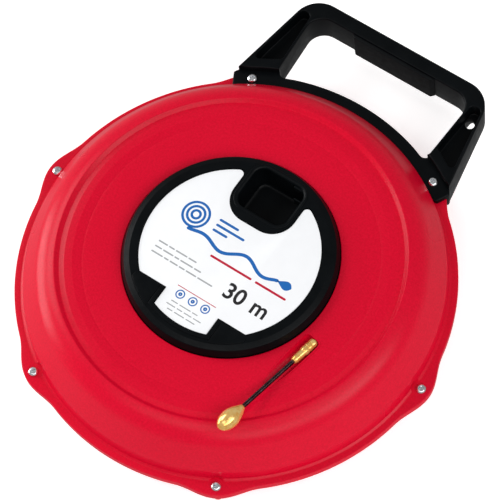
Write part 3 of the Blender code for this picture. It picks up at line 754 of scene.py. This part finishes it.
def threaded_screw(name, size, length, pitch=1.2 * MM):
    """A pan-head screw along Z, with the underside of its head at Z = 0, a thread and a cross recess."""
    head_radius, head_height, shank = size
    sides, per_turn = 24, 8
    bm = bmesh.new()
    rings = []
    core = shank * 0.82
    count = int(length / pitch * per_turn)
    for i in range(count + 1):
        z = -length + length * i / count
        taper = min(1.0, 0.25 + (z + length) / (2.5 * shank))
        ring = []
        for n in range(sides):
            a = 2 * math.pi * n / sides
            phase = (z / pitch - n / sides) % 1.0
            ridge = max(0.0, 1 - abs(phase - 0.5) / 0.28)
            r = (core + (shank * 1.12 - core) * ridge) * taper
            ring.append(bm.verts.new(polar(r, a, z)))
        rings.append(ring)
    head = rounded([
        (head_radius, 0, 0.15 * MM),
        (head_radius, head_height * 0.45, head_radius * 0.2),
        (head_radius * 0.72, head_height * 0.93, head_radius * 0.3),
        (0, head_height, 0),
        (0, 0, 0),
    ], 5)[:-2]
    for r, z in head:
        rings.append([bm.verts.new(polar(r, a, z)) for a in around(sides)])
    bridge(bm, rings)
    bm.faces.new(rings[0])
    bm.faces.new(rings[-1])
    screw = new_object(name, bm)

    wide, narrow = head_radius * 0.56, head_radius * 0.15
    slot = rectangle(wide, narrow)
    depth = head_height * 0.75
    arms = []
    for angle in (20, 110):
        arm = lofted(slot, [(head_height - depth, -0.4 * narrow), (head_height + 1 * MM, 0.1 * narrow)])
        arms.append((CUT, moved(arm, Matrix.Rotation(math.radians(angle), 4, "Z"))))
    cone = [(0, head_height - depth), (head_radius * 0.12, head_height - depth)]
    cone += [(head_radius * 0.34, head_height + 0.2 * MM), (0, head_height + 0.2 * MM)]
    carve(screw, *arms, (CUT, turned(cone, 20, first=0.07)))
    return screw


def column_screw_places():
    """x and y of the four screws that hold the disc on the drum's hub."""
    for degrees in (45, 135, 225, 315):
        yield polar(COLUMN_SCREW_RADIUS, math.radians(degrees))


def screws(mat):
    for number, x, y in case_screw_places():
        seat = PART_Z + (PLATE_HALF if number <= 2 else FLANGE) + GAP
        length = (15.0 if number <= 2 else 12.5) * MM
        screw = threaded_screw(f"flange_screw_{number}", CASE_SCREW, length)
        screw.matrix_world = Matrix.Translation((x, y, seat)) @ Matrix.Rotation(number * 1.1, 4, "Z")
        piece(screw, mat, "case", "steel", f"case_screw_{number}")
    for number, (x, y) in enumerate(column_screw_places(), 1):
        place = (x, y, HUB_TOP - 3.0 * MM - GAP)
        screw = threaded_screw(f"column_screw_{number}", DISC_SCREW, 14 * MM)
        screw.matrix_world = Matrix.Translation(place) @ Matrix.Rotation(math.pi, 4, "X")
        piece(screw, mat, "rotor", "steel", f"disc_screw_{number}")
    cap_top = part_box("retaining_washer")[1].z + GAP
    screw = threaded_screw("centre_screw", AXLE_SCREW, 14.5 * MM)
    screw.matrix_world = Matrix.Translation((0, 0, cap_top))
    piece(screw, mat, "case", "steel", "axle_screw")
    screw = threaded_screw("end_clamp_screw", CLAMP_SCREW, 10.5 * MM)
    screw.matrix_world = aimed(Vector((0, -DRUM_RADIUS - GAP, CLAMP_Z)), Vector((0, -1, 0)))
    piece(screw, mat, "rotor", "steel", "clamp_screw")


# -------------------- disc and label

def label_outline(grow=0.0):
    """The label's edge, moved outwards by grow."""
    edge, notch, tab, horn = LABEL_RADIUS + grow, NOTCH_HALF - grow, TAB_HALF + grow, 3.5 * MM
    tilt = math.degrees(math.asin((notch + horn) / (edge - horn)))
    low = math.degrees(math.acos((TAB_Y - grow) / edge))
    tab_turn = math.degrees(math.asin(tab / edge))
    right = [(0, NOTCH_Y + grow, 0), (notch, NOTCH_Y + grow, NOTCH_CORNER)]
    horn_x, horn_y = notch + horn, (edge - horn) * math.cos(math.radians(tilt))
    for n in range(13):
        a = math.radians(180 - n * (90 + tilt) / 12)
        right.append((horn_x + horn * math.cos(a), horn_y + horn * math.sin(a), 0))
    right += arc_corners(edge, tilt + 2, low, 60)
    right.append((tab, TAB_Y - grow, 0))
    right += arc_corners(edge, 180 - tab_turn, 180, 12)
    return rounded(mirrored(right), 12)


def pocket_outline(grow=0.0):
    x, (low, high) = POCKET_HALF + grow, POCKET_Y
    radius = 8 * MM + grow
    return rounded(mirrored([(x, high + grow, radius), (x, low - grow, radius)]), 10)


def tab_band():
    """A raised band that follows the sides and the foot of the label's tab."""
    inner, outer = 0.9 * MM, 3.9 * MM
    corners = []
    for grow, order in ((outer, 1), (inner, -1)):
        tab, edge = TAB_HALF + grow, LABEL_RADIUS + grow
        turn = math.degrees(math.asin(tab / edge))
        path = [(tab, TAB_LINES_TOP, 0)] + arc_corners(edge, 180 - turn, 180 + turn, 20)
        path.append((-tab, TAB_LINES_TOP, 0))
        corners += path[::order]
    return rounded(corners)


def corner_block(side):
    """The raised field between the tab, the label's lower edge and the disc's rim."""
    edge, left, right = 73.0 * MM, TAB_HALF + 4.5 * MM, 49.0 * MM
    low, high = (math.degrees(math.asin(x / edge)) for x in (left, right))
    corners = [(left, TAB_LINES_TOP, 1 * MM), (right, TAB_LINES_TOP, 2 * MM)]
    corners += arc_corners(edge, 180 - high, 180 - low, 8)
    return rounded([(side * x, y, radius) for x, y, radius in corners], 5)


def crank_disc(mat):
    profile = rounded([
        (0, DISC_TOP, 0),
        (DISC_FLAT, DISC_TOP, 0.8 * MM),
        (*DISC_BEND, 1.0 * MM),
        (DISC_RADIUS, DISC_RIM_Z, 0.6 * MM),
        (DISC_RADIUS, DISC_SKIRT_Z, 0.5 * MM),
        (DISC_RADIUS - DISC_WALL, DISC_SKIRT_Z, 0.5 * MM),
        (DISC_RADIUS - DISC_WALL, DISC_RIM_Z - 2 * MM, 1 * MM),
        (DISC_FLAT + 2 * MM, DISC_PLATE_Z, 1 * MM),
        (COLUMN[1], DISC_PLATE_Z, 1 * MM),
        (COLUMN[1], HUB_TOP + GAP, 0.3 * MM),
        (COLUMN[0], HUB_TOP + GAP, 0.3 * MM),
        (COLUMN[0], DISC_PLATE_Z, 1 * MM),
        (0, DISC_PLATE_Z, 0),
    ], 6)
    disc = new_object("crank_disc", turned(profile, 288))
    cup = plate(pocket_outline(DISC_WALL), POCKET_FLOOR - DISC_WALL, DISC_TOP - 1 * MM, 0.8 * MM)
    mouth = DISC_TOP + 0.6 * MM
    surround = plate(pocket_outline(3.6 * MM), DISC_TOP - 6 * MM, mouth, 0.5 * MM)
    steps = [(ADD, cup), (ADD, surround)]
    steps.append((ADD, plate(tab_band(), DISC_TOP - 3 * MM, DISC_TOP + 0.7 * MM, 0.3 * MM)))
    for side in (1, -1):
        block = plate(corner_block(side), DISC_TOP - 4 * MM, DISC_TOP + 0.5 * MM, 0.3 * MM)
        steps.append((ADD, block))
    stations = pocket_stations(POCKET_FLOOR, mouth, 2.4 * MM, 3 * MM)
    steps.append((CUT, lofted(pocket_outline(), stations)))
    ribs = [(14.6, 22.0, 60.5, 61.7, 84.0), (9.5, 21.5, 68.6, 71.0, 86.0)]
    for left, right, low, high, bottom in ribs:
        sides = mm((left, low, 0.4), (right, low, 0.4), (right, high, 0.4), (left, high, 0.4))
        steps.append((ADD, plate(rounded(sides, 3), bottom * MM, 91.4 * MM, 0.3 * MM)))
    seat = lofted(label_outline(2 * GAP), [(SEAT_Z, 0), (DISC_TOP + 5 * MM, 0)])
    steps.append((CUT, seat))
    for place in column_screw_places():
        hole = rod(COLUMN_SCREW_HOLE, HUB_TOP - 2 * MM, HUB_TOP + 15 * MM, 20, place)
        steps.append((CUT, hole))
    carve(disc, *steps)
    piece(disc, mat, "rotor", "moulding", "winding_disc")


def print_plate(outline):
    """A patch of ink on the label."""
    return plate([Vector(point[:2]) for point in outline], LABEL_TOP, LABEL_TOP + INK)


def stroke(points, width):
    """A printed line of even width with round ends, through points in millimetres."""
    points = [Vector(point) for point in points]
    half = width / 2
    right, left = [], []
    for i, point in enumerate(points):
        ahead = (points[min(i + 1, len(points) - 1)] - points[max(i - 1, 0)]).normalized()
        across = Vector((ahead.y, -ahead.x)) * half
        right.append(point + across)
        left.append(point - across)
    ends = []
    for point, beside in ((points[-1], right[-1]), (points[0], left[0])):
        spoke = beside - point
        turns = (Matrix.Rotation(math.radians(30 * n), 2) for n in range(1, 6))
        ends.append([point + turn @ spoke for turn in turns])
    outline = right + ends[0] + left[::-1] + ends[1]
    return print_plate([point * MM for point in outline])


def print_ring(x, y, outer, width):
    """A printed ring, its sizes in millimetres."""
    corners = [(outer - width, 0), (outer, 0), (outer, INK), (outer - width, INK)]
    band = turned([(r * MM, LABEL_TOP + h) for r, h in corners], 64)
    bmesh.ops.translate(band, verts=band.verts, vec=(x * MM, y * MM, 0))
    return band


def pear(x, y, length, radius):
    """A printed pear-shaped tip that points to +X, with its neck at x, y, in millimetres."""
    half = [(x + length * part, y + radius * math.sin(math.pi * part ** 1.7) ** 0.8)
            for part in (n / 20 for n in range(1, 20))]
    lower = [(px, 2 * y - py) for px, py in reversed(half)]
    outline = [(x, y)] + half + [(x + length, y)] + lower
    return print_plate([Vector(point) * MM for point in outline])


def label_blue():
    """A wound coil whose tape snakes across the label to its pear-shaped end, in millimetres."""
    solids = [print_ring(-38, 11.5, radius, 1.9) for radius in (11.0, 7.6, 4.2)]
    tape_y, tape_start, tape_end = -0.45, -36.5, 42.0
    wave, steps = [], 80
    for n in range(steps + 1):
        part = n / steps
        swing = 4.6 * math.sin(part * 4 * math.pi) * math.sin(math.pi * part) ** 0.35
        wave.append((tape_start + (tape_end - tape_start) * part, tape_y + swing * part ** 0.3))
    solids.append(stroke(wave, 2.6))
    solids.append(pear(tape_end - 0.5, tape_y, 13, 3.6))
    for y, end in ((17.5, -5), (12.9, 3), (8.3, -9)):
        solids.append(stroke([(-20, y), (end, y)], 1.9))
    for x in (-11, 0, 11):
        for outer, width in ((3.6, 0.9), (1.5, 1.2)):
            solids.append(print_ring(x, -47.0, outer, width))
    return joined(solids)


def label_red():
    """The two long underlines and the thin one above the tab, in millimetres."""
    lines = [(-9.5, 25, -9.8, 1.8), (30, 55, -9.8, 1.8), (-16.5, 16.5, -41.8, 0.6)]
    return joined(stroke([(start, y), (end, y)], width) for start, end, y, width in lines)


def label_grey():
    """Broken lines where the small print would be: start, height, width, then each word's length."""
    rows = [
        (-48.6, -20.2, 1.1, (7, 4, 9, 6)),
        (-48.6, -24.9, 1.1, (5, 8, 3, 10, 5)),
        (-48.6, -29.6, 1.1, (9, 3, 6, 4, 8, 12)),
        (-13.5, -54.2, 0.8, (5, 9, 4)),
        (-15.5, -57.6, 0.8, (7, 4, 6, 6)),
        (-12.5, -61.0, 0.8, (4, 8, 7)),
    ]
    space = 2.2
    solids = []
    for x, y, width, words in rows:
        for word in words:
            solids.append(stroke([(x, y), (x + word, y)], width))
            x += word + space
    return joined(solids)


def label_length():
    """The tape's length, the only lettering on the label."""
    curve = bpy.data.curves.new("length", "FONT")
    curve.body = "30 m"
    curve.size = 17.5 * MM
    curve.offset = 0.35 * MM
    curve.extrude = INK / 2
    curve.space_word = 1.3
    curve.resolution_u = 6
    text = bpy.data.objects.new("length", curve)
    bpy.context.scene.collection.objects.link(text)
    graph = bpy.context.evaluated_depsgraph_get()
    mesh = bpy.data.meshes.new_from_object(text.evaluated_get(graph))
    bpy.data.objects.remove(text)
    bm = bmesh.new()
    bm.from_mesh(mesh)
    bmesh.ops.remove_doubles(bm, verts=bm.verts, dist=1e-7)
    bmesh.ops.translate(bm, verts=bm.verts, vec=(13.8 * MM, -31.6 * MM, LABEL_TOP + INK / 2))
    return bm


def label(film, inks):
    obj = new_object("label_film", plate(label_outline(), SEAT_Z + GAP, LABEL_TOP, 0.08 * MM))
    piece(obj, film, "rotor", "label", "disc_label")
    prints = {"blue": label_blue, "red": label_red, "grey": label_grey, "black": label_length}
    for colour, make in prints.items():
        piece(new_object(f"label_{colour}", make()), inks[colour], "rotor", "label")


# -------------------- drum, bearing and tape

def clamp_screw_hole(radius):
    """A cutter through the drum's wall at -Y, where the tape's inner end is clamped."""
    place = aimed(Vector((0, 0, CLAMP_Z)), Vector((0, -1, 0)))
    return moved(rod(radius, 120 * MM, 150 * MM, 20), place)


def spool(mat):
    floor_top = DRUM_FLOOR + DRUM_WALL
    profile = rounded([
        (POST_RADIUS + 2 * GAP, DRUM_FLOOR, 0.4 * MM),
        (DRUM_RADIUS, DRUM_FLOOR, 1 * MM),
        (DRUM_RADIUS, DRUM_TOP, 0.8 * MM),
        (DRUM_LIP, DRUM_TOP, 0.8 * MM),
        (DRUM_LIP, DRUM_TOP - DRUM_WALL, 0.8 * MM),
        (DRUM_RADIUS - DRUM_WALL, DRUM_TOP - DRUM_WALL, 1 * MM),
        (DRUM_RADIUS - DRUM_WALL, floor_top, 1.5 * MM),
        (HUB_OUTER, floor_top, 2 * MM),
        (HUB_OUTER, HUB_TOP - 3 * MM, 1 * MM),
        (COLUMN[1], HUB_TOP - 3 * MM, 0.4 * MM),
        (COLUMN[1], HUB_TOP, 0.4 * MM),
        (BUSH_RADIUS + GAP, HUB_TOP, 0.3 * MM),
        (BUSH_RADIUS + GAP, POST_TOP + 2.1 * MM, 0),
        (POST_RADIUS + 2 * GAP, POST_TOP + 2.1 * MM, 0),
    ], 4)
    drum = new_object("spool", turned(profile, 240))
    steps = []
    for place in column_screw_places():
        hole = rod(COLUMN_SCREW_HOLE, HUB_TOP - 6 * MM, HUB_TOP + 3 * MM, 20, place)
        steps.append((CUT, hole))
    steps.append((CUT, clamp_screw_hole(1.9 * MM)))
    for number in range(6):
        first = 60 * number + 7
        window = arc_corners(108 * MM, first, first + 46, 10)
        window[0] = (*window[0][:2], 5 * MM)
        window[-1] = (*window[-1][:2], 5 * MM)
        window += arc_corners(38 * MM, first + 41, first + 5, 10)
        outline = rounded(window, 5)
        steps.append((CUT, plate(outline, DRUM_FLOOR - 2 * MM, floor_top + 2 * MM)))
    carve(drum, *steps)
    piece(drum, mat, "rotor", "polymer", "drum")


def bearing(steel, polymer):
    low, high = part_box("axle_pin")
    bore = 2.3 * MM
    profile = rounded([
        (0, low.z, 0),
        (AXLE_RADIUS, low.z, 0.6 * MM),
        (AXLE_RADIUS, high.z, 0.5 * MM),
        (bore, high.z, 0.3 * MM),
        (bore, high.z - 15 * MM, 0),
        (0, high.z - 15 * MM, 0),
    ], 3)
    piece(new_object("axle", turned(profile, 64)), steel, "case", "steel", "axle_pin")

    for name, node, inner, mat, slot in (
        ("thrust_ring", "thrust_washer", AXLE_RADIUS + GAP, polymer, "polymer"),
        ("cap_washer", "retaining_washer", bore, steel, "steel"),
    ):
        low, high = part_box(node)
        obj = new_object(name, washer(inner, high.x, low.z, high.z))
        piece(obj, mat, "case", slot, node)

    low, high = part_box("axle_bush")
    profile = rounded([
        (AXLE_RADIUS + GAP, low.z, 0.3 * MM),
        (BUSH_RADIUS, low.z, 0.4 * MM),
        (BUSH_RADIUS, high.z - 1.5 * MM, 0.1 * MM),
        (12 * MM, high.z - 1.5 * MM, 0.3 * MM),
        (12 * MM, high.z, 0.4 * MM),
        (AXLE_RADIUS + GAP, high.z, 0.4 * MM),
    ], 3)
    piece(new_object("bush", turned(profile, 64)), polymer, "rotor", "polymer", "axle_bush")

    low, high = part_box("wave_washer")
    inner, thick = AXLE_RADIUS + 2 * GAP, 0.4 * MM
    wave = turned([(inner, 0), (high.x, 0), (high.x, thick), (inner, thick)], 96)
    rise = high.z - low.z - thick
    for vertex in wave.verts:
        turn = math.atan2(vertex.co.y, vertex.co.x)
        vertex.co.z += low.z + rise * (0.5 + 0.5 * math.sin(3 * turn))
    piece(new_object("spring_washer", wave), steel, "case", "steel", "wave_washer")


def coil_path():
    """The tape's turns in their layers, from the drum's wall inwards."""
    per_turn = 72
    per_layer = TAPE_TURNS / TAPE_LAYERS
    outer = COIL_OUTER - COIL_MARGIN
    low, high = COIL_Z[0] + COIL_MARGIN, COIL_Z[1] - COIL_MARGIN
    for n in range(TAPE_TURNS * per_turn + 1):
        turn = n / per_turn
        layer = min(int(turn / per_layer), TAPE_LAYERS - 1)
        part = turn / per_layer - layer
        height = low + (high - low) * (part if layer % 2 == 0 else 1 - part)
        change = max(0.0, 1 - (1 - part) * per_layer / 0.5) if layer < TAPE_LAYERS - 1 else 0.0
        radius = outer - LAYER_PITCH * (layer + change * change * (3 - 2 * change))
        yield Vector(polar(radius, 2 * math.pi * turn, height))


def run_path():
    """The tape from the coil's top turn to the straight piece behind the guide hole."""
    end = LEADER_BACK - ALONG * (ROD_INSIDE + GAP)
    end_turn, end_radius = math.atan2(end.y, end.x), end.xy.length
    sweep = math.radians(75)
    start_radius, start_z = COIL_INNER + TAPE_RADIUS, COIL_Z[1] + TAPE_RADIUS + 2 * GAP
    outward = Vector((end.x, end.y, 0)).normalized()
    speed = end_radius * sweep / ALONG.dot(Vector((outward.y, -outward.x, 0)))
    steps = 72
    for n in range(steps + 1):
        part = n / steps
        whole, arrival = part * part * (3 - 2 * part), part * part * (part - 1)
        radius = start_radius + (end_radius - start_radius) * whole + speed * ALONG.dot(outward) * arrival
        height = start_z + (end.z - start_z) * whole + speed * ALONG.z * arrival
        yield Vector(polar(radius, end_turn + sweep * (1 - part), height))


def tape(mat, polymer):
    coil = new_object("wound_tape", swept(list(coil_path()), TAPE_RADIUS, 10))
    piece(coil, mat, "rotor", "tape", "tape_coil")
    run = new_object("tape_to_guide", swept(list(run_path()), TAPE_RADIUS, 20))
    piece(run, mat, "case", "tape", "tape_run")

    low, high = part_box("tape_clamp")
    corners = [(low.x, high.y, 1 * MM), (high.x, high.y, 1 * MM)]
    corners += [(high.x, low.y, 0.5 * MM), (low.x, low.y, 0.5 * MM)]
    clamp = new_object("end_clamp", plate(rounded(corners), low.z, high.z, 0.5 * MM))
    carve(clamp, (CUT, clamp_screw_hole(1.8 * MM)))
    piece(clamp, polymer, "rotor", "polymer", "tape_clamp")


# -------------------- leader

def on_leader(name, bm, mat, slot, node):
    obj = new_object(name, bm)
    obj.matrix_world = aimed(LEADER_BACK, ALONG)
    piece(obj, mat, "tape_end", slot, node)


def leader(tape_mat, brass, dark):
    corners = [(0, -ROD_INSIDE, 0), (TAPE_RADIUS, -ROD_INSIDE, 0.2 * MM)]
    corners += [(TAPE_RADIUS, SLEEVE_BORE - GAP, 0.2 * MM), (0, SLEEVE_BORE - GAP, 0)]
    on_leader("straight_tape", turned(rounded(corners, 3), 32), tape_mat, "tape", "tape_lead")

    bore = (TAPE_RADIUS + GAP) / MM
    sleeve = mm(
        (bore, 0, 0.2), (3.1, 0, 0.3), (3.5, 0.9, 0.3), (3.5, 3.2, 0.15), (3.2, 3.5, 0.15),
        (3.2, 4.1, 0.15), (3.5, 4.4, 0.15), (3.5, 7.0, 0.15), (3.2, 7.3, 0.15), (3.2, 7.9, 0.15),
        (3.5, 8.2, 0.15), (3.5, 11.0, 0.4), (2.9, 12.2, 0.4), (2.9, 19.6, 0.5), (2.3, 22.0, 0.4),
        (0, 22.0, 0), (0, 8.0, 0), (bore, 8.0, 0.1),
    )
    on_leader("brass_sleeve", turned(rounded(sleeve, 3), 64), brass, "brass", "end_sleeve")

    tip_start = LEADER_LENGTH - TIP_LENGTH
    first, last = SLEEVE_LENGTH + GAP, tip_start - GAP
    pitch = 2.04 * WIRE_RADIUS
    turns = (last - first - 2 * WIRE_RADIUS) / pitch
    radius, per_turn = SPRING_RADIUS - WIRE_RADIUS, 18
    points = []
    for n in range(int(turns * per_turn) + 1):
        height = first + WIRE_RADIUS + pitch * n / per_turn
        points.append(Vector(polar(radius, 2 * math.pi * n / per_turn, height)))
    core = rod(SPRING_RADIUS - 2.2 * WIRE_RADIUS, first, last, 16)
    spring = joined([swept(points, WIRE_RADIUS, 8), core])
    on_leader("flexible_spring", spring, dark, "spring", "leader_spring")

    widest = TIP_WIDEST * TIP_LENGTH
    profile = [(0, tip_start), (TIP_NECK - 0.3 * MM, tip_start), (TIP_NECK, tip_start + 0.3 * MM)]
    steps = 28
    for n in range(2, steps + 1):
        part = n / steps
        swell = math.sin(part * math.pi / 2) ** 1.05
        profile.append((TIP_NECK + (TIP_RADIUS - TIP_NECK) * swell, tip_start + widest * part))
    for n in range(1, steps):
        a = n / steps * math.pi / 2
        reach = (TIP_LENGTH - widest) * math.sin(a)
        profile.append((TIP_RADIUS * math.cos(a), tip_start + widest + reach))
    profile.append((0, LEADER_LENGTH))
    on_leader("brass_tip", turned(profile, 96), brass, "brass", "leader_tip")


# -------------------- stage

def soft_light(name, place, width, height, power):
    data = bpy.data.lights.new(name, "AREA")
    data.shape = "RECTANGLE"
    data.size, data.size_y = width, height
    data.energy = power
    lamp = bpy.data.objects.new(name, data)
    bpy.context.scene.collection.objects.link(lamp)
    lamp.matrix_world = aimed(Vector(place), Vector(place) - LIGHT_TARGET)


def stage():
    scene = bpy.context.scene
    scene.view_settings.view_transform = "Standard"
    floor = new_object("floor", plate(rectangle(FLOOR_HALF, FLOOR_HALF), -20 * MM, -0.2 * MM))
    floor.data.materials.append(floor_material())
    floor.visible_glossy = False

    world = bpy.data.worlds.new("studio")
    world.use_nodes = True
    background = world.node_tree.nodes["Background"]
    background.inputs["Color"].default_value = (1, 1, 1, 1)
    background.inputs["Strength"].default_value = WORLD_GLOW
    scene.world = world

    for turn, height, power in LIGHTS:
        across, up = polar(LIGHT_DISTANCE, math.radians(height))
        place = polar(across, math.radians(turn), up)
        soft_light(f"soft_{turn}_{height}", place, *LIGHT_PANEL, power)
    soft_light("left_wall", (-1.93, -0.52, 0.25), 1.3, 1.1, 28)

    data = bpy.data.cameras.new("camera")
    data.lens = CAMERA_LENS
    data.sensor_width = 36
    data.clip_end = 20
    camera = bpy.data.objects.new("camera", data)
    scene.collection.objects.link(camera)
    up = CAMERA_RIGHT.cross(CAMERA_FORWARD)
    rotation = Matrix((CAMERA_RIGHT, up, -CAMERA_FORWARD)).transposed()
    camera.matrix_world = Matrix.Translation(CAMERA_PLACE) @ rotation.to_4x4()
    scene.camera = camera


# -------------------- the reel

stage()
red = case_material()
black = black_material("black_moulding", (0.0016, 0.0023, 0.0029), 0.33, 0.012 * MM)
rubber = black_material("grip_rubber", (0.0024, 0.0030, 0.0035), 0.55, 0.03 * MM)
film = film_material("label_white", (0.93, 0.94, 0.96))
inks = {
    "blue": film_material("ink_blue", (0.006, 0.125, 0.44)),
    "red": film_material("ink_red", (0.52, 0.006, 0.035)),
    "grey": film_material("ink_grey", (0.36, 0.37, 0.38)),
    "black": film_material("ink_black", (0.012, 0.012, 0.013)),
}
zinc = metal_material("zinc_plate", (0.66, 0.68, 0.70), (0.88, 0.90, 0.92), 0.24, 0.3 * MM)
brass = metal_material("turned_brass", (0.88, 0.46, 0.10), (1.0, 0.70, 0.26), 0.18, 1.2 * MM, metallic=0.6)
dark = metal_material("spring_wire", (0.040, 0.026, 0.030), (0.085, 0.058, 0.062), 0.26, 0.3 * MM)
polymer = polymer_material()
fibreglass = tape_material()

front_case(red)
rear_case(red)
carry_handle(black)
grip_strip(rubber)
screws(zinc)
crank_disc(black)
label(film, inks)
spool(polymer)
bearing(zinc, polymer)
tape(fibreglass, polymer)
leader(fibreglass, brass, dark)
